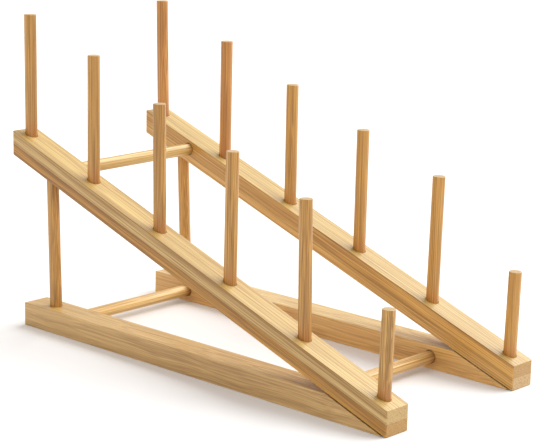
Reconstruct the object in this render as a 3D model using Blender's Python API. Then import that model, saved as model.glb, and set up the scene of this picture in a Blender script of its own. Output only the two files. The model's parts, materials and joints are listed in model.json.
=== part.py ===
"""Sloped bamboo dish drying rack: two side frames joined by three cross rods.

Frame: +X towards the low front end, +Z up, -Y is the left side frame. The origin is on the
worktop under the middle of the rack. Sizes are in metres.
"""

from math import cos, pi, radians, sin, tan

import bmesh
import bpy
from mathutils import Matrix, Vector

# Overall sizes
RACK_LENGTH = 0.333  # from the low front tip to the rear end of the sloped rails
RACK_WIDTH = 0.145  # over the outer faces of the two side frames
SLOPE = radians(19.55)  # of the sloped rails

# Rail stock
RAIL_WIDTH = 0.0204
UPPER_LAYER = 0.0079  # laminations of the sloped rail, square to its length
LOWER_LAYER = 0.0073
BASE_HEIGHT = 0.0159
BASE_SETBACK = 0.0107  # the base rail's rear end ahead of the sloped rail's
EDGE_ROUND = 0.0006
WEDGE_TIP = 0.0006  # blunt thickness left at the wedge's point

# Round stock
PEG_DIAMETER = 0.0083
POST_DIAMETER = 0.0083
ROD_DIAMETER = 0.0083
END_CHAMFER = 0.0004
ROUND_SIDES = 24

# Pegs
PEG_COUNT = 6
PEG_EXPOSED = 0.0820
FRONT_PEG_EXPOSED = 0.0540
FRONT_PEG_MARGIN = 0.0104  # from a rail end to the nearest peg's axis
REAR_PEG_MARGIN = 0.0078
PEG_FLOOR = 0.0045  # wood left under a peg's socket, measured plumb
PROUD_PEGS = {("left", 5): 0.0040}  # pegs that stop short of their socket's bottom

# Posts and cross rods
POST_SETBACK = 0.0198  # post axis ahead of the base rail's rear end
POST_FLOOR = 0.0050  # wood left under the post
POST_ROOF = 0.0060  # wood left over the post, measured plumb
REAR_ROD_GAP = 0.0135  # rear rods' axes ahead of the posts'
UPPER_ROD_COVER = 0.0020  # wood left over the upper rod's socket
FRONT_ROD_GAP = 0.0197  # front rod's axis behind the start of the wedge
ROD_WALL = 0.0080  # wood left outside each rod's end

# Screws from below, through the wedge into the sloped rail
SCREW_SETBACKS = (0.026, 0.038)  # behind the low front tip
SCREW_LENGTH = 0.0200
SCREW_SHANK = 0.0032
SCREW_HEAD = 0.0064
SCREW_POINT = 0.0040
HEAD_SINK = 0.0007  # the head's face above the base rail's underside
RECESS_DEPTH = 0.0014
RECESS_REACH = 0.0019  # from the screw's axis to the end of each arm
RECESS_ARM = 0.0008  # width of an arm
RECESS_TAPER = 0.55  # size at the bottom of the recess, of that at the head

# Clearances
GLUE_GAP = 0.0003
WEDGE_GAP = 0.0004

# Worked out from the above
FRONT_X = RACK_LENGTH / 2
REAR_X = -RACK_LENGTH / 2
SIDE_Y = (RACK_WIDTH - RAIL_WIDTH) / 2
RAIL_THICKNESS = UPPER_LAYER + GLUE_GAP + LOWER_LAYER
RAIL_PLUMB = RAIL_THICKNESS / cos(SLOPE)
ALONG = Vector((cos(SLOPE), 0, -sin(SLOPE)))  # down the slope, to the front
ABOVE = Vector((sin(SLOPE), 0, cos(SLOPE)))  # square to the sloped rail's top
BASE_REAR_X = REAR_X + BASE_SETBACK
WEDGE_TOP_X = FRONT_X - (BASE_HEIGHT + WEDGE_GAP / cos(SLOPE)) / tan(SLOPE)
WEDGE_TIP_X = FRONT_X - (WEDGE_TIP + WEDGE_GAP / cos(SLOPE)) / tan(SLOPE)
POST_X = BASE_REAR_X + POST_SETBACK
REAR_ROD_X = POST_X + REAR_ROD_GAP
FRONT_ROD_X = WEDGE_TOP_X - FRONT_ROD_GAP
PEG_PITCH = (RACK_LENGTH - FRONT_PEG_MARGIN - REAR_PEG_MARGIN) / (PEG_COUNT - 1)

FINISHES = {  # base colour, roughness, metallic
    "rail_top_bamboo": ((0.80, 0.56, 0.28), 0.42, 0.0),
    "rail_under_bamboo": ((0.66, 0.43, 0.19), 0.45, 0.0),
    "base_bamboo": ((0.70, 0.47, 0.22), 0.45, 0.0),
    "peg_bamboo": ((0.64, 0.38, 0.15), 0.40, 0.0),
    "post_bamboo": ((0.66, 0.40, 0.17), 0.40, 0.0),
    "rod_bamboo": ((0.80, 0.57, 0.29), 0.40, 0.0),
    "screw_steel": ((0.62, 0.62, 0.60), 0.35, 1.0),
}


def rail_under(x):
    """Height of the sloped rail's underside."""
    return (FRONT_X - x) * tan(SLOPE)


def rail_top(x):
    return rail_under(x) + RAIL_PLUMB


def peg_x(number):
    """Peg 1 is the rear one."""
    return REAR_X + REAR_PEG_MARGIN + (number - 1) * PEG_PITCH


def make_finish(name):
    color, roughness, metallic = FINISHES[name]
    material = bpy.data.materials.new(name)
    material.use_nodes = True
    shader = material.node_tree.nodes["Principled BSDF"]
    shader.inputs["Base Color"].default_value = (*color, 1)
    shader.inputs["Roughness"].default_value = roughness
    shader.inputs["Metallic"].default_value = metallic
    material.diffuse_color = (*color, 1)
    return material


def add_object(name, bm, finish=None, location=(0, 0, 0)):
    """Turns a bmesh into an object; one without a finish is a cutter."""
    mesh = bpy.data.meshes.new(name)
    bmesh.ops.recalc_face_normals(bm, faces=bm.faces)
    bm.to_mesh(mesh)
    bm.free()
    obj = bpy.data.objects.new(name, mesh)
    obj.location = location
    bpy.context.scene.collection.objects.link(obj)
    if finish:
        obj.data.materials.append(bpy.data.materials[finish])
    else:
        obj.hide_render = True
        obj.display_type = "WIRE"
    return obj


def shade_round(obj):
    obj.data.shade_smooth()
    obj.data.set_sharp_from_angle(angle=radians(35))


def drill(obj, cutter):
    cut = obj.modifiers.new("sockets", "BOOLEAN")
    cut.operation = "DIFFERENCE"
    cut.solver = "EXACT"
    cut.object = cutter


def add_bore(bm, start, end, diameter):
    """Adds a plain cylinder between two points, for a cutter."""
    start, end = Vector(start), Vector(end)
    run = end - start
    turn = run.to_track_quat("Z", "X").to_matrix().to_4x4()
    bmesh.ops.create_cone(
        bm,
        cap_ends=True,
        segments=ROUND_SIDES,
        radius1=diameter / 2 + GLUE_GAP,
        radius2=diameter / 2 + GLUE_GAP,
        depth=run.length,
        matrix=Matrix.Translation((start + end) / 2) @ turn,
    )


def add_dowel(name, diameter, length, finish, location, axis="Z"):
    """Round stock with chamfered ends; its origin is at its lower or its -Y end."""
    bm = bmesh.new()
    bmesh.ops.create_cone(
        bm,
        cap_ends=True,
        segments=ROUND_SIDES,
        radius1=diameter / 2,
        radius2=diameter / 2,
        depth=length,
        matrix=Matrix.Translation((0, 0, length / 2)),
    )
    rims = [edge for edge in bm.edges if edge.verts[0].co.z == edge.verts[1].co.z]
    bmesh.ops.bevel(
        bm, geom=rims, offset=END_CHAMFER, segments=1, affect="EDGES", profile=0.5
    )
    obj = add_object(name, bm, finish, location)
    if axis == "Y":
        obj.rotation_euler.x = -pi / 2
    shade_round(obj)


def bar(start, end, width, low, high, rounded, up):
    """A straight bar from start to end whose section runs from low to high along up.

    rounded lists the sides, "low" or "high", whose long edges are rounded.
    """
    across = Vector((0, 1, 0))
    corners = []
    for at in (start, end):
        for y, height in ((-1, low), (1, low), (1, high), (-1, high)):
            corners.append(at + across * (y * width / 2) + up * height)
    bm = bmesh.new()
    verts = [bm.verts.new(corner) for corner in corners]
    for ring in ((3, 2, 1, 0), (4, 5, 6, 7)):
        bm.faces.new([verts[i] for i in ring])
    for i in range(4):
        j = (i + 1) % 4
        bm.faces.new([verts[i], verts[j], verts[4 + j], verts[4 + i]])
    bm.verts.index_update()
    long_edges = {"low": (0, 1), "high": (2, 3)}
    chosen = [
        edge
        for edge in bm.edges
        for side in rounded
        for i in long_edges[side]
        if {v.index for v in edge.verts} == {i, i + 4}
    ]
    bmesh.ops.bevel(
        bm, geom=chosen, offset=EDGE_ROUND, segments=2, affect="EDGES", profile=0.5
    )
    return bm


def saw(bm, point, normal):
    """Cuts away what is beyond a plane and closes the cut."""
    everything = bm.verts[:] + bm.edges[:] + bm.faces[:]
    cut = bmesh.ops.bisect_plane(
        bm, geom=everything, dist=1e-7, plane_co=point, plane_no=normal, clear_outer=True
    )
    edges = [item for item in cut["geom_cut"] if isinstance(item, bmesh.types.BMEdge)]
    bmesh.ops.edgeloop_fill(bm, edges=edges)


def add_rail_layer(side, y, layer):
    """One lamination of a sloped rail, sawn plumb at both ends."""
    if layer == "upper":
        low, high, rounded = LOWER_LAYER + GLUE_GAP, RAIL_THICKNESS, ["high"]
        finish = "rail_top_bamboo"
    else:
        low, high, rounded = 0, LOWER_LAYER, ["low"]
        finish = "rail_under_bamboo"
    tip = Vector((FRONT_X, y, 0))
    overrun = RAIL_THICKNESS * 2
    start = tip - ALONG * (RACK_LENGTH / cos(SLOPE) + overrun)
    bm = bar(start, tip + ALONG * overrun, RAIL_WIDTH, low, high, rounded, ABOVE)
    saw(bm, (FRONT_X, 0, 0), (1, 0, 0))
    saw(bm, (REAR_X, 0, 0), (-1, 0, 0))
    obj = add_object(f"{side}_rail_{layer}_layer", bm, finish)
    drill(obj, rail_cutter(side, y, layer))


def rail_cutter(side, y, layer):
    """The sockets that reach into one lamination."""
    bm = bmesh.new()
    for number in range(1, PEG_COUNT + 1):
        x = peg_x(number)
        bottom = rail_under(x) + PEG_FLOOR - GLUE_GAP
        add_bore(bm, (x, y, bottom), (x, y, rail_top(x) + PEG_DIAMETER), PEG_DIAMETER)
    post_end = rail_top(POST_X) - POST_ROOF + GLUE_GAP
    add_bore(
        bm,
        (POST_X, y, rail_under(POST_X) - POST_DIAMETER),
        (POST_X, y, post_end),
        POST_DIAMETER,
    )
    add_rod_bore(bm, y, REAR_ROD_X, upper_rod_z())
    for setback in SCREW_SETBACKS:
        x = FRONT_X - setback
        point = HEAD_SINK + SCREW_LENGTH + GLUE_GAP
        add_bore(bm, (x, y, -SCREW_SHANK), (x, y, point), SCREW_SHANK)
    return add_object(f"{side}_{layer}_sockets", bm)


def upper_rod_z():
    depth = (UPPER_ROD_COVER + GLUE_GAP + ROD_DIAMETER / 2) / cos(SLOPE)
    return rail_top(REAR_ROD_X) - depth


def add_rod_bore(bm, y, x, z):
    """A blind socket for a cross rod, bored from a side frame's inner face."""
    inward = -1 if y > 0 else 1
    inner = y + inward * RAIL_WIDTH / 2
    bottom = inner - inward * (RAIL_WIDTH - ROD_WALL + GLUE_GAP)
    add_bore(bm, (x, bottom, z), (x, inner + inward * ROD_DIAMETER, z), ROD_DIAMETER)


def add_base_rail(side, y):
    """Lies flat; its front is cut to the slope of the rail above it."""
    start = Vector((BASE_REAR_X, y, 0))
    end = Vector((FRONT_X, y, 0))
    up = Vector((0, 0, 1))
    bm = bar(start, end, RAIL_WIDTH, 0, BASE_HEIGHT, ["low", "high"], up)
    saw(bm, Vector((FRONT_X, 0, 0)) - ABOVE * WEDGE_GAP, ABOVE)
    saw(bm, (WEDGE_TIP_X, 0, 0), (1, 0, 0))
    obj = add_object(f"{side}_base_rail", bm, "base_bamboo")
    bm = bmesh.new()
    socket = (POST_X, y, POST_FLOOR - GLUE_GAP)
    add_bore(bm, socket, (POST_X, y, BASE_HEIGHT + POST_DIAMETER), POST_DIAMETER)
    for x in (REAR_ROD_X, FRONT_ROD_X):
        add_rod_bore(bm, y, x, BASE_HEIGHT / 2)
    drill(obj, add_object(f"{side}_base_sockets", bm))
    bm = bmesh.new()
    for setback in SCREW_SETBACKS:
        add_screw_shape(bm, FRONT_X - setback, y, GLUE_GAP)
    drill(obj, add_object(f"{side}_base_screw_holes", bm))


def add_screw_shape(bm, x, y, grow):
    """A countersunk screw's outline turned about its axis, point up.

    With grow it is the hole: larger all round, and open below and above.
    """
    head, shank = SCREW_HEAD / 2 + grow, SCREW_SHANK / 2 + grow
    taper = head - shank
    if grow:
        seat = HEAD_SINK + grow / 2
        profile = [(0, -head), (head, -head), (head, seat), (shank, seat + taper)]
        profile += [(shank, 2 * BASE_HEIGHT), (0, 2 * BASE_HEIGHT)]
    else:
        seat, tip = HEAD_SINK, HEAD_SINK + SCREW_LENGTH
        profile = [(0, seat), (head, seat), (shank, seat + taper)]
        profile += [(shank, tip - SCREW_POINT), (0, tip)]
    middle = Vector((x, y, 0))
    rings = []
    for radius, z in profile:
        if radius == 0:
            rings.append([bm.verts.new(middle + Vector((0, 0, z)))])
            continue
        turns = [2 * pi * i / ROUND_SIDES for i in range(ROUND_SIDES)]
        offsets = [Vector((radius * cos(t), radius * sin(t), z)) for t in turns]
        rings.append([bm.verts.new(middle + offset) for offset in offsets])
    for below, over in zip(rings, rings[1:]):
        for i in range(ROUND_SIDES):
            j = (i + 1) % ROUND_SIDES
            corners = [below[i % len(below)], below[j % len(below)]]
            corners += [over[j % len(over)], over[i % len(over)]]
            bm.faces.new(dict.fromkeys(corners))


def add_screw(name, x, y):
    bm = bmesh.new()
    add_screw_shape(bm, 0, 0, 0)
    obj = add_object(name, bm, "screw_steel", (x, y, 0))
    shade_round(obj)
    drill(obj, recess_cutter(f"{name}_recess", x, y))


def recess_cutter(name, x, y):
    """A tapered cross whose wide end is just below the screw's head."""
    half = RECESS_ARM / 2
    outline = []
    for quarter in range(4):
        turn = Matrix.Rotation(quarter * pi / 2, 3, "Z")
        for corner in ((RECESS_REACH, -half, 0), (RECESS_REACH, half, 0), (half, half, 0)):
            outline.append(turn @ Vector(corner))
    lift = Vector((0, 0, RECESS_DEPTH))
    middle = Vector((0, 0, HEAD_SINK))
    bm = bmesh.new()
    low = [bm.verts.new(corner + middle - lift) for corner in outline]
    top = [bm.verts.new(corner * RECESS_TAPER + middle + lift) for corner in outline]
    bm.faces.new(list(reversed(low)))
    bm.faces.new(top)
    for i in range(len(low)):
        j = (i + 1) % len(low)
        bm.faces.new([low[i], low[j], top[j], top[i]])
    return add_object(name, bm, location=(x, y, 0))


def add_pegs(side, y):
    for number in range(1, PEG_COUNT + 1):
        exposed = FRONT_PEG_EXPOSED if number == PEG_COUNT else PEG_EXPOSED
        seated = RAIL_PLUMB - PEG_FLOOR
        x = peg_x(number)
        proud = PROUD_PEGS.get((side, number), 0)
        bottom = rail_under(x) + PEG_FLOOR + proud
        name = f"{side}_peg_{number}"
        length = exposed + seated
        add_dowel(name, PEG_DIAMETER, length, "peg_bamboo", (x, y, bottom))


def add_side_frame(side, y):
    add_rail_layer(side, y, "upper")
    add_rail_layer(side, y, "lower")
    add_base_rail(side, y)
    post_length = rail_top(POST_X) - POST_ROOF - POST_FLOOR
    foot = (POST_X, y, POST_FLOOR)
    add_dowel(f"{side}_post", POST_DIAMETER, post_length, "post_bamboo", foot)
    add_pegs(side, y)
    for number, setback in enumerate(SCREW_SETBACKS, 1):
        add_screw(f"{side}_wedge_screw_{number}", FRONT_X - setback, y)


def add_cross_rod(name, x, z):
    length = RACK_WIDTH - 2 * ROD_WALL
    start = (x, -length / 2, z)
    add_dowel(name, ROD_DIAMETER, length, "rod_bamboo", start, axis="Y")


def build():
    for obj in list(bpy.data.objects):
        bpy.data.objects.remove(obj)
    for name in FINISHES:
        make_finish(name)
    for side, sign in (("left", -1), ("right", 1)):
        add_side_frame(side, sign * SIDE_Y)
    add_cross_rod("rear_upper_cross_rod", REAR_ROD_X, upper_rod_z())
    add_cross_rod("rear_lower_cross_rod", REAR_ROD_X, BASE_HEIGHT / 2)
    add_cross_rod("front_cross_rod", FRONT_ROD_X, BASE_HEIGHT / 2)


build()
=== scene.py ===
import json
from math import atan2, cos, pi, radians, sin, tan

import bmesh
import bpy
from mathutils import Euler, Matrix, Vector


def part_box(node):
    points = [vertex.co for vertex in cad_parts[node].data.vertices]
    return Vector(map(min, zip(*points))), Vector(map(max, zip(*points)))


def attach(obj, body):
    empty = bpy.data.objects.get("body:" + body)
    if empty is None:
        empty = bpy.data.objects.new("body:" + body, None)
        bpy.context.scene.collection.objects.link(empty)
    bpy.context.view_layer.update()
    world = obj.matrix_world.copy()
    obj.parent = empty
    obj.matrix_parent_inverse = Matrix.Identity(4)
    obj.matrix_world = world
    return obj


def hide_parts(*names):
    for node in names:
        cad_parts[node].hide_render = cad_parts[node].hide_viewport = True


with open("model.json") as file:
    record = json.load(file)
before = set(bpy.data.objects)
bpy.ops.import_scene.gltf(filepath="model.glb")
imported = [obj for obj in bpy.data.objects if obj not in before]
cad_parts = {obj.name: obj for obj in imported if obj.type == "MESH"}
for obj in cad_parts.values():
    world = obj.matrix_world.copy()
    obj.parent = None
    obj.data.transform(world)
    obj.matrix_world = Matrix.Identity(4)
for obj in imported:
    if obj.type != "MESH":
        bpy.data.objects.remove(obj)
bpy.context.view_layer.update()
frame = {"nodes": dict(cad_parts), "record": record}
print("frame loaded:", len(frame["nodes"]), "solids")


# Node trees are written as plain arithmetic. A Wire is one output socket of a node.

class Wire:
    def __init__(self, tree, socket):
        self.tree = tree
        self.socket = socket

    def maths(self, operation, *values):
        return addNode(self.tree, "ShaderNodeMath", {"operation": operation}, dict(enumerate(values)))

    def __add__(self, other):
        return self.maths("ADD", self, other)

    def __radd__(self, other):
        return self.maths("ADD", other, self)

    def __sub__(self, other):
        return self.maths("SUBTRACT", self, other)

    def __rsub__(self, other):
        return self.maths("SUBTRACT", other, self)

    def __mul__(self, other):
        return self.maths("MULTIPLY", self, other)

    def __rmul__(self, other):
        return self.maths("MULTIPLY", other, self)

    def __truediv__(self, other):
        return self.maths("DIVIDE", self, other)

    def __gt__(self, other):
        return self.maths("GREATER_THAN", self, other)

    def absolute(self):
        return self.maths("ABSOLUTE", self)

    def between(self, low, high):
        # 0 below low, 1 above high, and smooth from one to the other
        sockets = {"Value": self, "From Min": low, "From Max": high}
        return addNode(self.tree, "ShaderNodeMapRange", {"interpolation_type": "SMOOTHSTEP"}, sockets)


def addNode(tree, kind, settings=None, sockets=None, output=0):
    node = tree.nodes.new(kind)
    for name, value in (settings or {}).items():
        if name == "stops":
            setStops(node.color_ramp, value)
        else:
            setattr(node, name, value)
    for name, value in (sockets or {}).items():
        if isinstance(value, Wire):
            tree.links.new(value.socket, node.inputs[name])
        else:
            node.inputs[name].default_value = value
    if output is None:
        return node
    return Wire(tree, node.outputs[output])


def setStops(ramp, stops):
    while len(ramp.elements) < len(stops):
        ramp.elements.new(0.5)
    for element, (place, color) in zip(ramp.elements, stops):
        element.position = place
        element.color = paint(color)


def paint(code):
    # "d9a05b" as the linear colour that shaders take
    shares = [int(code[i:i + 2], 16) / 255 for i in (0, 2, 4)]
    linear = [s / 12.92 if s <= 0.04045 else ((s + 0.055) / 1.055) ** 2.4 for s in shares]
    return (*linear, 1)


def mixColors(tree, share, first, second, blend="MIX"):
    # the colour sockets of a Mix node are 6 and 7, and its colour output is 2
    first, second = (paint(c) if isinstance(c, str) else c for c in (first, second))
    settings = {"data_type": "RGBA", "blend_type": blend}
    return addNode(tree, "ShaderNodeMix", settings, {0: share, 6: first, 7: second}, 2)


def newMaterial(name):
    material = bpy.data.materials.new(name)
    material.use_nodes = True
    material.node_tree.nodes.clear()
    return material, material.node_tree


def addSurface(tree, sockets):
    shader = addNode(tree, "ShaderNodeBsdfPrincipled", {}, sockets)
    addNode(tree, "ShaderNodeOutputMaterial", {}, {"Surface": shader}, None)


def coordinate(tree, vector, axis):
    # one coordinate of a vector: 0 is X, 1 is Y, 2 is Z
    return addNode(tree, "ShaderNodeSeparateXYZ", {}, {"Vector": vector}, axis)


# Sizes of the rack, read from its solids

def readRack():
    mounts = {mount["name"]: mount for mount in frame["record"]["mounts"]}
    normal = Vector(mounts["left_plate_face"]["axis"])
    upperLow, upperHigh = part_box("left_rail_upper_layer")
    lowerLow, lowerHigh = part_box("left_rail_lower_layer")
    baseLow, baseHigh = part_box("left_base_rail")
    slope = atan2(normal.x, normal.z)
    seamRear = (lowerHigh.z + upperLow.z + (upperHigh.x - upperLow.x) * tan(slope)) / 2
    return {
        "slope": slope,
        "topPlane": upperHigh.z * cos(slope) + upperLow.x * sin(slope),
        "seamPlane": seamRear * cos(slope) + upperLow.x * sin(slope),
        "rearX": upperLow.x,
        "frontX": upperHigh.x,
        "railWidth": upperHigh.y - upperLow.y,
        "sideY": -(upperHigh.y + upperLow.y) / 2,
        "topRear": upperHigh.z,
        "seamRear": seamRear,
        "underFront": lowerLow.z,
        "baseRearX": baseLow.x,
        "baseTop": baseHigh.z,
    }


rack = readRack()
rise = tan(rack["slope"])


def topAt(x):
    return rack["topRear"] - (x - rack["rearX"]) * rise


# Bamboo. Each look gives the colours and figure of one kind of stock; the grain runs along
# the piece, so its coordinates are turned until X lies along it.

grainTurns = {
    "slope": Euler((0, -rack["slope"], 0)),
    "level": Euler((0, 0, 0)),
    "upright": Euler((0, pi / 2, 0)),
    "across": Euler((0, 0, -pi / 2)),
}

plainBamboo = {
    "lines": 1.0, "threads": 0.7, "bands": 0.25, "tone": 0.2,  # share of each in the grain
    "hairs": 0.45, "veins": 0.15, "dashes": 0.3,
    "fineness": 1.15,
    "wander": 0.0004, "wanderPitch": 14,  # sideways drift of the grain, and how often it turns
    "skin": 0.0, "skinTop": 0.0, "skinDepth": 0.004,  # denser fibre at a layer's outer side
    "lift": 0.0,  # where in the stock the piece was cut
    "face": None, "faceMid": None,  # colours of the upper face, where it differs
    "end": "bea067",
    "foot": 0.0, "rodEndShadow": 0.0,  # painted bounce glow and shade where a peg or post enters its rail, and painted shadow on each rod's end at the right rail
    "coat": 0.12,
    "roughness": 0.40,
}

railStock = {"grain": "slope"}

baseStock = {
    "grain": "level", "lines": 0.55, "threads": 0.4, "hairs": 0.2, "bands": 0.2, "veins": 0.25,
    "wander": 0.0014,
}

pegStock = {
    "grain": "upright", "fineness": 1.5, "lines": 1.1, "threads": 0.9, "hairs": 0.4, "tone": 0.06,
    "bands": 0.2, "foot": 0.3, "coat": 0.25, "end": "c7a979",
}

rodStock = {"grain": "across", "hairs": 0.3}

bambooLooks = {
    "railUpperLeft": {
        **railStock, "pale": "d1ae6f", "mid": "9b7238", "vein": "87521c",
        "face": "d7b873", "faceMid": "a98545", "skin": 0.42, "skinTop": rack["topPlane"],
    },
    "railLowerLeft": {
        **railStock, "pale": "ce963a", "mid": "90601f", "vein": "7c460f", "end": "b28a4d",
        "lift": 0.11, "veins": 0.3, "skin": 0.35, "skinTop": rack["seamPlane"],
    },
    "railUpperRight": {
        **railStock, "pale": "e2ad58", "mid": "a37233", "vein": "8a5116", "end": "b79058",
        "face": "d6ba74", "faceMid": "a98549", "lift": 0.23, "skin": 0.45, "skinTop": rack["topPlane"],
    },
    "railLowerRight": {
        **railStock, "pale": "deab5c", "mid": "a27433", "vein": "8f5518", "end": "c4a473",
        "lift": 0.31,
    },
    "baseLeft": {
        **baseStock, "pale": "e1ba7a", "mid": "a67c49", "vein": "925929",
        "face": "dab471", "faceMid": "aa8449",
    },
    "baseRight": {
        **baseStock, "pale": "f8c87a", "mid": "b78649", "vein": "a16029",
        "face": "ebcf90", "faceMid": "b8965f",
    },
    "peg": {**pegStock, "pale": "d29c4e", "mid": "8d6327", "vein": "91571a"},
    "pegRight": {
        **pegStock, "pale": "dea54e", "mid": "966827", "vein": "9a5c1a",
        "lines": 0.6, "threads": 0.8, "hairs": 0.18, "veins": 0.1,
    },
    "pegWavy": {
        **pegStock, "pale": "d09f53", "mid": "8c6429", "vein": "90581a",
        "wander": 0.0005, "wanderPitch": 55,
    },
    "pegOrange": {**pegStock, "pale": "d79748", "mid": "955e23", "vein": "9a4f17"},
    "rod": {**rodStock, "pale": "e6c47b", "mid": "af8647", "vein": "966327", "rodEndShadow": 0.3},
    "rodLower": {**rodStock, "pale": "f2cc84", "mid": "b68d4d", "vein": "9b672c", "rodEndShadow": 0.7},
    "rodFront": {
        **rodStock, "pale": "f2ca87", "mid": "b08446", "vein": "98612a",
        "lines": 1.4, "hairs": 0.7, "veins": 0.3, "rodEndShadow": 0.5,
    },
}

bambooFinish = {
    "coatRoughness": 0.3, "threadRoughness": 0.12, "endRoughness": 0.15,
    "grainStrength": 0.5, "grainDepth": 0.00006,
    "endGrain": "8a5c2c", "endGrainShare": 0.5,
    # painted orange bounce glow and shade at the feet of pegs and posts
    "footGlowAndShadeColor": "bc661c", "footGlowAndShadeReach": 0.016,
    # painted shadow of the right rail on the rods' ends
    "rodEndShadowColor": "7a3c10", "rodEndShadowReach": 0.007,
}

grainFigure = {
    # scale along and across the grain, detail, and the two values of the noise between
    # which each fades in
    "lines": (4, 1050, 2, 0.38, 0.62),
    "threads": (16, 1600, 1, 0.35, 0.65),
    "bands": (2.5, 190, 1, 0.35, 0.65),
    "tone": (6, 22, 1, 0.30, 0.70),
    "hairPatches": (5, 300, 1, 0.42, 0.58),
    "veinPatches": (12, 90, 2, 0.40, 0.60),
    "skinLines": (2, 640, 1, 0.42, 0.58),
    "pores": (1300, 1100, 1, 0.40, 0.70),
}

grainStrokes = {
    # hairs follow the middle of a slow noise, veins are contour lines of a slower one still,
    # and dashes are stretched cells
    "hairs": {"along": 2.5, "across": 680, "width": 0.05},
    "veins": {"along": 5, "across": 150, "contours": 6, "width": 0.20},
    "dashes": {"along": 26, "across": 1200, "core": 0.10, "rim": 0.40},
}

grainShares = {
    "side": 0.6,  # lines and threads on the sides of a piece
    "face": {"lines": 0.65, "threads": 0.35, "bands": 0.1, "tone": 0.15, "paler": 0.12},
    "skin": {"even": 0.4, "lined": 0.9, "solidDepth": 0.0005},
    "relief": {"threads": 0.5, "lines": 0.5, "dashes": 0.4},
}


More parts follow.
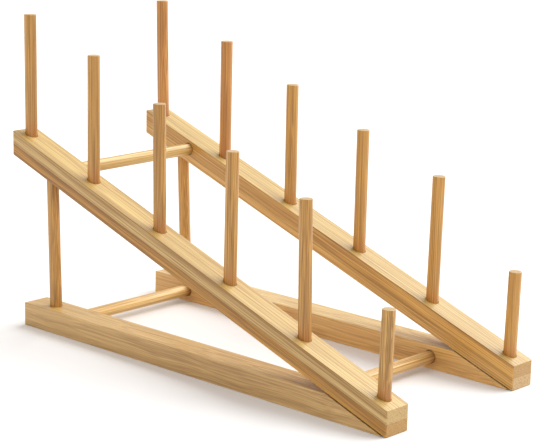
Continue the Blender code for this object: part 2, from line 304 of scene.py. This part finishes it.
def bamboo(name):
    look = {**plainBamboo, **bambooLooks[name]}
    material, tree = newMaterial("bamboo " + name)
    place = addNode(tree, "ShaderNodeTexCoord", output=None)
    where, normal = Wire(tree, place.outputs["Object"]), Wire(tree, place.outputs["Normal"])
    turn = {"Rotation": grainTurns[look["grain"]]}
    turned = addNode(tree, "ShaderNodeMapping", {}, {"Vector": where, **turn})
    facing = addNode(tree, "ShaderNodeMapping", {"vector_type": "NORMAL"}, {"Vector": normal, **turn})
    height = coordinate(tree, turned, 2)
    atEnd = coordinate(tree, facing, 0).absolute().between(0.75, 0.9)
    onTop = coordinate(tree, facing, 2).between(0.6, 0.9)

    def stretched(along, across):
        across = across * look["fineness"]
        sockets = {"Vector": turned, "Scale": (along, across, across),
                   "Location": (look["lift"] * along, 0, look["lift"] * across)}
        return addNode(tree, "ShaderNodeMapping", {}, sockets)

    def noise(along, across, detail, output=0):
        sockets = {"Vector": stretched(along, across), "Scale": 1.0, "Detail": detail}
        return addNode(tree, "ShaderNodeTexNoise", {}, sockets, output)

    def figure(kind):
        along, across, detail, low, high = grainFigure[kind]
        return noise(along, across, detail).between(low, high)

    def vectorMaths(operation, first, second):
        return addNode(tree, "ShaderNodeVectorMath", {"operation": operation}, {0: first, 1: second})

    # the grain wanders a little from side to side along its length
    drift = vectorMaths("SUBTRACT", noise(look["wanderPitch"], 60, 1, 1), (0.5, 0.5, 0.5))
    drift = vectorMaths("MULTIPLY", drift, (0, 4 * look["wander"], 4 * look["wander"]))
    turned = vectorMaths("ADD", turned, drift)

    lines, threads, bands, tone = (figure(kind) for kind in ("lines", "threads", "bands", "tone"))
    hair, vein, dash = (grainStrokes[kind] for kind in ("hairs", "veins", "dashes"))
    crossing = noise(hair["along"], hair["across"], 1) - 0.5
    hairs = (1 - crossing.absolute().between(0.0, hair["width"])) * figure("hairPatches")
    contours = noise(vein["along"], vein["across"], 1) * vein["contours"]
    contours = contours.maths("FRACT", contours) - 0.5
    veins = (1 - contours.absolute().between(0.0, vein["width"])) * figure("veinPatches")
    sockets = {"Vector": stretched(dash["along"], dash["across"]), "Scale": 1.0}
    cells = addNode(tree, "ShaderNodeTexVoronoi", {}, sockets)
    dashes = (1 - cells.between(dash["core"], dash["rim"])) * bands

    share = grainShares["side"]
    shade = 0.5 + (lines - 0.5) * look["lines"] * share + (threads - 0.5) * look["threads"] * share
    shade = shade + (bands - 0.5) * look["bands"] + (tone - 0.5) * look["tone"]
    if look["skin"]:
        share = grainShares["skin"]
        skin = 1 - (look["skinTop"] - height).between(share["solidDepth"], look["skinDepth"])
        shade = shade + skin * look["skin"] * (share["even"] + share["lined"] * figure("skinLines"))
    shade = shade.maths("MINIMUM", shade.maths("MAXIMUM", shade, 0.0), 1.0)
    color = mixColors(tree, shade, look["pale"], look["mid"])
    if look["face"]:
        share = grainShares["face"]
        faceShade = lines * share["lines"] + threads * share["threads"]
        faceShade = faceShade + bands * share["bands"] + tone * share["tone"] - share["paler"]
        faceColor = mixColors(tree, faceShade, look["face"], look["faceMid"])
        color = mixColors(tree, onTop, color, faceColor)
    for kind, strokes in (("veins", veins), ("dashes", dashes), ("hairs", hairs)):
        color = mixColors(tree, strokes * look[kind], color, look["vein"])
    # painted bounce glow and shade: a peg or post turns a darker orange near the rail's top plane
    if look["foot"]:
        turn = {"Rotation": grainTurns["slope"]}
        sloped = addNode(tree, "ShaderNodeMapping", {}, {"Vector": where, **turn})
        above = coordinate(tree, sloped, 2) - rack["topPlane"]
        near = 1 - above.absolute().between(0.0, bambooFinish["footGlowAndShadeReach"])
        color = mixColors(tree, near * look["foot"], color, bambooFinish["footGlowAndShadeColor"])
    # painted shadow: each rod darkens towards the right rail, where that rail shades it
    if look["rodEndShadow"]:
        inner = rack["sideY"] - rack["railWidth"] / 2
        near = coordinate(tree, where, 1).between(inner - bambooFinish["rodEndShadowReach"], inner)
        color = mixColors(tree, near * look["rodEndShadow"], color, bambooFinish["rodEndShadowColor"])
    pores = figure("pores") * bambooFinish["endGrainShare"]
    color = mixColors(tree, atEnd, color, mixColors(tree, pores, look["end"], bambooFinish["endGrain"]))

    dull = (threads - 0.5) * bambooFinish["threadRoughness"] + atEnd * bambooFinish["endRoughness"]
    share = grainShares["relief"]
    relief = threads * share["threads"] + lines * share["lines"] - dashes * share["dashes"]
    bump = addNode(tree, "ShaderNodeBump", {}, {
        "Strength": bambooFinish["grainStrength"],
        "Distance": bambooFinish["grainDepth"],
        "Height": relief,
    })
    addSurface(tree, {
        "Base Color": color,
        "Roughness": dull + look["roughness"],
        "Normal": bump,
        "Coat Weight": look["coat"],
        "Coat Roughness": bambooFinish["coatRoughness"],
    })
    return material


finishes = {name: bamboo(name) for name in bambooLooks}

steelLook = {"bright": "b9b9b4", "dull": "8f908d", "grainPitch": 900.0, "roughness": 0.28, "spread": 0.2}


def steel():
    material, tree = newMaterial("screw steel")
    place = addNode(tree, "ShaderNodeTexCoord", output=None)
    grain = addNode(tree, "ShaderNodeTexNoise", {}, {
        "Vector": Wire(tree, place.outputs["Object"]), "Scale": steelLook["grainPitch"], "Detail": 3.0})
    addSurface(tree, {
        "Base Color": mixColors(tree, grain, steelLook["bright"], steelLook["dull"]),
        "Roughness": steelLook["roughness"] + grain * steelLook["spread"],
        "Metallic": 1.0,
    })
    return material


finishes["steel"] = steel()
print("finishes made:", len(finishes))


def settle(obj, body="root", nodes=()):
    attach(obj, body)
    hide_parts(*nodes)


def linkMesh(name, mesh):
    obj = bpy.data.objects.new(name, mesh)
    bpy.context.scene.collection.objects.link(obj)
    return obj


def bake(obj, name):
    # the evaluated shape as a plain mesh of its own, and the working object goes
    bpy.context.view_layer.update()
    depsgraph = bpy.context.evaluated_depsgraph_get()
    mesh = bpy.data.meshes.new_from_object(obj.evaluated_get(depsgraph))
    rough = obj.data
    bpy.data.objects.remove(obj)
    bpy.data.meshes.remove(rough)
    mesh.name = name
    return mesh


# Dowels: one tree turns every peg, post and rod, and the cutters of their sockets

dowelRings = 5  # rings in the rounded rim at each end
endStep = 0.000002  # how far behind the end face its rim starts, so that the face shades flat


def dowelTree():
    tree = bpy.data.node_groups.new("turned dowel", "GeometryNodeTree")
    sockets = [
        ("Radius", "NodeSocketFloat"), ("Length", "NodeSocketFloat"),
        ("Rim Round", "NodeSocketFloat"), ("Sides", "NodeSocketInt"),
        ("Finish", "NodeSocketMaterial"),
    ]
    for name, kind in sockets:
        tree.interface.new_socket(name, in_out="INPUT", socket_type=kind)
    tree.interface.new_socket("Geometry", in_out="OUTPUT", socket_type="NodeSocketGeometry")
    inputs = addNode(tree, "NodeGroupInput", output=None)
    radius, length, rim, sides, finish = (Wire(tree, socket) for socket in inputs.outputs[:5])
    last = 2 * dowelRings + 3
    index = addNode(tree, "GeometryNodeInputIndex")
    fromEnd = index.maths("MINIMUM", index, last - index)
    # the two outermost rings lie in the end face
    turn = ((fromEnd - 1) / dowelRings).maths("MAXIMUM", (fromEnd - 1) / dowelRings, 0) * (pi / 2)
    inset = rim * (1 - turn.maths("SINE", turn)) + (1 - fromEnd).maths("MAXIMUM", 1 - fromEnd, 0) * rim
    height = rim * (1 - turn.maths("COSINE", turn)) + (fromEnd > 0.5) * endStep
    upper = index > last / 2
    z = height * (1 - upper) + (length - height) * upper
    line = addNode(tree, "GeometryNodeCurvePrimitiveLine", {}, {"End": (0, 0, 1)})
    line = addNode(tree, "GeometryNodeResampleCurve", {}, {"Curve": line, "Count": last + 1})
    line = addNode(tree, "GeometryNodeSetPosition", {}, {
        "Geometry": line, "Position": addNode(tree, "ShaderNodeCombineXYZ", {}, {"Z": z})})
    section = addNode(tree, "GeometryNodeCurvePrimitiveCircle", {}, {"Resolution": sides, "Radius": 1.0})
    stick = addNode(tree, "GeometryNodeCurveToMesh", {}, {
        "Curve": line, "Profile Curve": section, "Scale": radius - inset, "Fill Caps": True})
    stick = addNode(tree, "GeometryNodeRealizeInstances", {}, {"Geometry": stick})
    stick = addNode(tree, "GeometryNodeSetMaterial", {}, {"Geometry": stick, "Material": finish})
    addNode(tree, "NodeGroupOutput", {}, {0: stick}, None)
    return tree


turnedDowel = dowelTree()


def dowelMesh(name, place, **sizes):
    # sizes are the tree's inputs, by name
    obj = linkMesh(name, bpy.data.meshes.new(name))
    turner = obj.modifiers.new("turned dowel", "NODES")
    turner.node_group = turnedDowel
    for item in turnedDowel.interface.items_tree:
        if item.in_out == "INPUT":
            turner[item.identifier] = sizes[item.name]
    mesh = bake(obj, name)
    mesh.transform(place)
    mesh.shade_smooth()
    return mesh


roundStock = {
    "rimRound": 0.0005, "cutterRound": 0.0001,  # radius of a dowel's rim, and of its socket's
    "sides": 64,
}

pegStyle = {
    "lean": {  # degrees towards the front
        "left_peg_1": -0.3, "left_peg_3": -0.9, "left_peg_4": 0.4, "left_peg_5": -1.2,
        "left_peg_6": 1.3, "right_peg_1": -1.4, "right_peg_2": 0.1, "right_peg_3": -0.2,
        "right_peg_4": 0.2, "right_peg_5": 1.0, "right_peg_6": 1.2,
    },
    "stock": {
        "left": "peg", "right": "pegRight",  # of each side's other pegs, and its post
        "right_peg_1": "pegOrange", "right_peg_2": "pegOrange", "left_peg_6": "pegWavy",
    },
    "raise": {  # metres higher than the solid
        "left_peg_1": -0.0003, "left_peg_2": 0.0015, "left_peg_4": 0.0013,
        "right_peg_3": -0.0006, "right_peg_4": -0.0005, "right_peg_5": 0.0006,
    },
    "socketSlack": 0.00026,  # room round a peg or post in its socket
}

postStyle = {
    # degrees of lean towards the front, and metres forward, about the middle of the post
    "lean": {"left_post": -1.7, "right_post": -2.6},
    "forward": {"left_post": 0.0003, "right_post": 0.0001},
}

rodStyle = {
    "stock": {
        "rear_upper_cross_rod": "rod", "rear_lower_cross_rod": "rodLower", "front_cross_rod": "rodFront",
    },
    "socketSlack": 0.00036,
}


def pegPlace(node):
    low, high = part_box(node)
    middle = (low + high) / 2
    foot = Vector((middle.x, middle.y, topAt(middle.x)))
    lean = Matrix.Rotation(radians(pegStyle["lean"].get(node, 0)), 4, "Y")
    shift = pegStyle["raise"].get(node, 0)
    return Matrix.Translation(foot) @ lean @ Matrix.Translation((0, 0, low.z - foot.z + shift))


def postPlace(node):
    low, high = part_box(node)
    middle = (low + high) / 2 + Vector((postStyle["forward"][node], 0, 0))
    lean = Matrix.Rotation(radians(postStyle["lean"][node]), 4, "Y")
    return Matrix.Translation(middle) @ lean @ Matrix.Translation((0, 0, (low.z - high.z) / 2))


def crossPlace(node):
    low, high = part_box(node)
    middle = (low + high) / 2
    return Matrix.Translation((middle.x, low.y, middle.z)) @ Matrix.Rotation(-pi / 2, 4, "X")


def addDowel(node, stock, place):
    low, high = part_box(node)
    size = high - low
    mesh = dowelMesh(node + "_turned", place, **{
        "Radius": min(size) / 2, "Length": max(size), "Rim Round": roundStock["rimRound"],
        "Sides": roundStock["sides"], "Finish": finishes[stock]})
    obj = linkMesh(mesh.name, mesh)
    settle(obj, nodes=[node])


crossRods = ["rear_upper_cross_rod", "rear_lower_cross_rod", "front_cross_rod"]

for side in ("left", "right"):
    for number in range(1, 7):
        node = f"{side}_peg_{number}"
        stock = pegStyle["stock"].get(node, pegStyle["stock"][side])
        addDowel(node, stock, pegPlace(node))
    addDowel(f"{side}_post", pegStyle["stock"][side], postPlace(f"{side}_post"))
for node in crossRods:
    addDowel(node, rodStyle["stock"][node], crossPlace(node))
print("dowels turned")


# Boards: the two layers of each sloped rail, and the base rails

boardStyle = {
    "longRound": 0.0005, "endRound": 0.0011, "seamRound": 0.00012,  # radii of the edges
    "edgeSteps": 4, "seamGap": 0.00004,
    "wedgeGap": 0.0009, "wedgeRound": 0.0003, "nose": 0.0006,
    "sharpFrom": 40,  # degrees between faces, past which an edge stays crisp
}


def boardMesh(name, outline, middleY, softness, cutters):
    # outline is the side view as (x, z) points; softness[i] is the edge rounding from point i on
    half = rack["railWidth"] / 2
    bm = bmesh.new()
    sides = [[bm.verts.new((x, middleY + y, z)) for x, z in outline] for y in (-half, half)]
    bm.faces.new(sides[0])
    bm.faces.new(list(reversed(sides[1])))
    weight = bm.edges.layers.float.new("bevel_weight_edge")
    count = len(outline)
    for i in range(count):
        j = (i + 1) % count
        bm.faces.new([sides[0][j], sides[0][i], sides[1][i], sides[1][j]])
    full = max(softness)
    for i in range(count):
        j = (i + 1) % count
        for row in sides:
            bm.edges.get((row[i], row[j]))[weight] = softness[i] / full
        corner = min(softness[i], softness[i - 1])
        bm.edges.get((sides[0][i], sides[1][i]))[weight] = corner / full
    bmesh.ops.recalc_face_normals(bm, faces=bm.faces)
    mesh = bpy.data.meshes.new(name)
    bm.to_mesh(mesh)
    bm.free()
    obj = linkMesh(name, mesh)
    soften = obj.modifiers.new("soft edges", "BEVEL")
    soften.limit_method = "WEIGHT"
    soften.width = full
    soften.segments = boardStyle["edgeSteps"]
    for cutter in cutters:
        cut = obj.modifiers.new("socket", "BOOLEAN")
        cut.operation = "DIFFERENCE"
        cut.solver = "EXACT"
        cut.object = cutter
    return bake(obj, name)


def shadeBoard(obj):
    obj.data.shade_smooth()
    obj.data.set_sharp_from_angle(angle=radians(boardStyle["sharpFrom"]))
    obj.modifiers.new("flat faces stay flat", "WEIGHTED_NORMAL").keep_sharp = True


def socketCutter(node, place, slack):
    low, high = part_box(node)
    size = high - low
    name = node + "_socket"
    mesh = dowelMesh(name, place @ Matrix.Translation((0, 0, -slack)), **{
        "Radius": min(size) / 2 + slack, "Length": max(size) + 2 * slack,
        "Rim Round": roundStock["cutterRound"], "Sides": roundStock["sides"],
        "Finish": finishes["rod"]})
    return linkMesh(name, mesh)


screwStyle = {
    "shank": 0.0032, "seatHeight": 0.0016, "point": 0.0040,  # sizes of the screw's own outline
    "holeSlack": 0.0003, "holeSides": 32,
    "below": 0.001,  # how far its hole's cutter reaches under the base rail
}


def screwCutter(node):
    # the screw's outline with a little room round it, open below its head
    low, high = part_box(node)
    middle = (low + high) / 2
    slack = screwStyle["holeSlack"]
    head, shank = (high.x - low.x) / 2 + slack, screwStyle["shank"] / 2 + slack
    outline = [
        (head, -screwStyle["below"]), (head, low.z), (shank, low.z + screwStyle["seatHeight"]),
        (shank, high.z - screwStyle["point"]), (slack, high.z + slack),
    ]
    bm = bmesh.new()
    sides = screwStyle["holeSides"]
    turns = [2 * pi * i / sides for i in range(sides)]
    rings = [[bm.verts.new((middle.x + radius * cos(t), middle.y + radius * sin(t), z)) for t in turns]
             for radius, z in outline]
    bm.faces.new(rings[0])
    bm.faces.new(rings[-1])
    for lower, upper in zip(rings, rings[1:]):
        for i in range(sides):
            bm.faces.new([lower[i - 1], lower[i], upper[i], upper[i - 1]])
    bmesh.ops.recalc_face_normals(bm, faces=bm.faces)
    mesh = bpy.data.meshes.new(node + "_hole")
    bm.to_mesh(mesh)
    bm.free()
    mesh.materials.append(finishes["rod"])
    return linkMesh(mesh.name, mesh)


def addBoard(node, outline, softness, stock, cutters):
    low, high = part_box(node)
    middleY = (low.y + high.y) / 2
    mesh = boardMesh(node + "_sawn", outline, middleY, softness, cutters)
    mesh.materials.clear()
    mesh.materials.append(finishes[stock])
    obj = linkMesh(mesh.name, mesh)
    shadeBoard(obj)
    settle(obj, nodes=[node])


def railOutline(layer):
    # the seam is closed to a hairline; the outer faces stay where they are
    rear, front = rack["rearX"], rack["frontX"]
    middleSeam = rack["seamRear"] - (front - rear) * rise
    gap = boardStyle["seamGap"] / 2
    if layer == "upper":
        low, high = middleSeam + gap, topAt(front)
    else:
        low, high = rack["underFront"], middleSeam - gap
    length = front - rear
    return [(rear, low + length * rise), (front, low), (front, high), (rear, high + length * rise)]


def baseOutline():
    # the wedge clears the sloped rail by a dark line
    top, rear = rack["baseTop"], rack["baseRearX"]
    gap = boardStyle["wedgeGap"] / cos(rack["slope"])
    tip = rack["frontX"] - (boardStyle["nose"] + gap) / rise
    wedgeTop = rack["frontX"] - (top + gap) / rise
    return [(rear, 0), (tip, 0), (tip, boardStyle["nose"]), (wedgeTop, top), (rear, top)]


def addSide(side):
    pegs = [f"{side}_peg_{number}" for number in range(1, 7)]
    post = f"{side}_post"
    pegCutters = [socketCutter(p, pegPlace(p), pegStyle["socketSlack"]) for p in pegs]
    postCutter = socketCutter(post, postPlace(post), pegStyle["socketSlack"])
    rodCutters = [socketCutter(r, crossPlace(r), rodStyle["socketSlack"]) for r in crossRods]
    screws = [f"{side}_wedge_screw_{number}" for number in (1, 2)]
    screwCutters = [screwCutter(screw) for screw in screws]
    long, end, seam = (boardStyle[k] for k in ("longRound", "endRound", "seamRound"))
    suffix = side.capitalize()
    addBoard(f"{side}_rail_upper_layer", railOutline("upper"), [seam, end, long, end],
             "railUpper" + suffix, pegCutters + [postCutter, rodCutters[0]] + screwCutters)
    addBoard(f"{side}_rail_lower_layer", railOutline("lower"), [long, end, seam, end],
             "railLower" + suffix, pegCutters + [postCutter, rodCutters[0]] + screwCutters)
    addBoard(f"{side}_base_rail", baseOutline(), [long, seam, boardStyle["wedgeRound"], long, end],
             "base" + suffix, [postCutter, rodCutters[1], rodCutters[2]] + screwCutters)
    for cutter in pegCutters + [postCutter] + rodCutters + screwCutters:
        bpy.data.objects.remove(cutter)
    for screw in screws:
        materials = frame["nodes"][screw].data.materials
        materials.clear()
        materials.append(finishes["steel"])


for side in ("left", "right"):
    addSide(side)
print("boards sawn and drilled")


# Studio

studio = {
    "floorSize": 14.0,
    "floorColor": "f4f3f2",
    "floorRoughness": 0.9,
    "skyStrength": 0.78, "skySeen": 1.3,  # as light on the rack, and as what lies behind it
    "keyFrom": (0.22, 0.67, 0.71),
    "keyAngle": 60.0,
    "keyStrength": 3.2,
}


def addFloor():
    bpy.ops.mesh.primitive_plane_add(size=studio["floorSize"])
    floor = bpy.context.object
    floor.name = "floor"
    material = bpy.data.materials.new("floor paper")
    material.use_nodes = True
    shader = material.node_tree.nodes["Principled BSDF"]
    shader.inputs["Base Color"].default_value = paint(studio["floorColor"])
    shader.inputs["Roughness"].default_value = studio["floorRoughness"]
    shader.inputs["Specular IOR Level"].default_value = 0.0
    floor.data.materials.append(material)


def addSky():
    # the sky lights the rack softly, and looks as white as the floor
    world = bpy.data.worlds.new("studio sky")
    world.use_nodes = True
    bpy.context.scene.world = world
    tree = world.node_tree
    tree.nodes.clear()
    rays = addNode(tree, "ShaderNodeLightPath")
    strength = rays * (studio["skySeen"] - studio["skyStrength"]) + studio["skyStrength"]
    sky = addNode(tree, "ShaderNodeBackground", {}, {"Color": (1, 1, 1, 1), "Strength": strength})
    addNode(tree, "ShaderNodeOutputWorld", {}, {"Surface": sky}, None)


def addKey():
    # one broad soft light from behind and the right
    lamp = bpy.data.lights.new("key", "SUN")
    lamp.angle = radians(studio["keyAngle"])
    lamp.energy = studio["keyStrength"]
    key = bpy.data.objects.new("key", lamp)
    away = Vector(studio["keyFrom"]).normalized()
    key.location = away
    key.rotation_euler = away.to_track_quat("Z", "Y").to_euler()
    bpy.context.scene.collection.objects.link(key)


addFloor()
addSky()
addKey()
bpy.context.scene.view_settings.view_transform = "Standard"


# Camera

seat = {
    "azimuth": 42.59, "elevation": 13.21, "roll": 1.16,
    "distance": 1.2358, "lookAt": (-0.00075, 0.0037, 0.08727),
    "lens": 127.36, "sensor": 36.0, "farthest": 50.0,
}


def addCamera():
    data = bpy.data.cameras.new("camera")
    data.lens = seat["lens"]
    data.sensor_width = seat["sensor"]
    data.clip_end = seat["farthest"]
    camera = bpy.data.objects.new("camera", data)
    a, e = radians(seat["azimuth"]), radians(seat["elevation"])
    back = Vector((sin(a) * cos(e), -cos(a) * cos(e), sin(e)))
    level = back.to_track_quat("Z", "Y").to_matrix().to_4x4()
    roll = Matrix.Rotation(radians(seat["roll"]), 4, "Z")
    spot = Vector(seat["lookAt"]) + back * seat["distance"]
    camera.matrix_world = Matrix.Translation(spot) @ level @ roll
    bpy.context.scene.collection.objects.link(camera)
    bpy.context.scene.camera = camera


addCamera()
print("studio and camera ready")
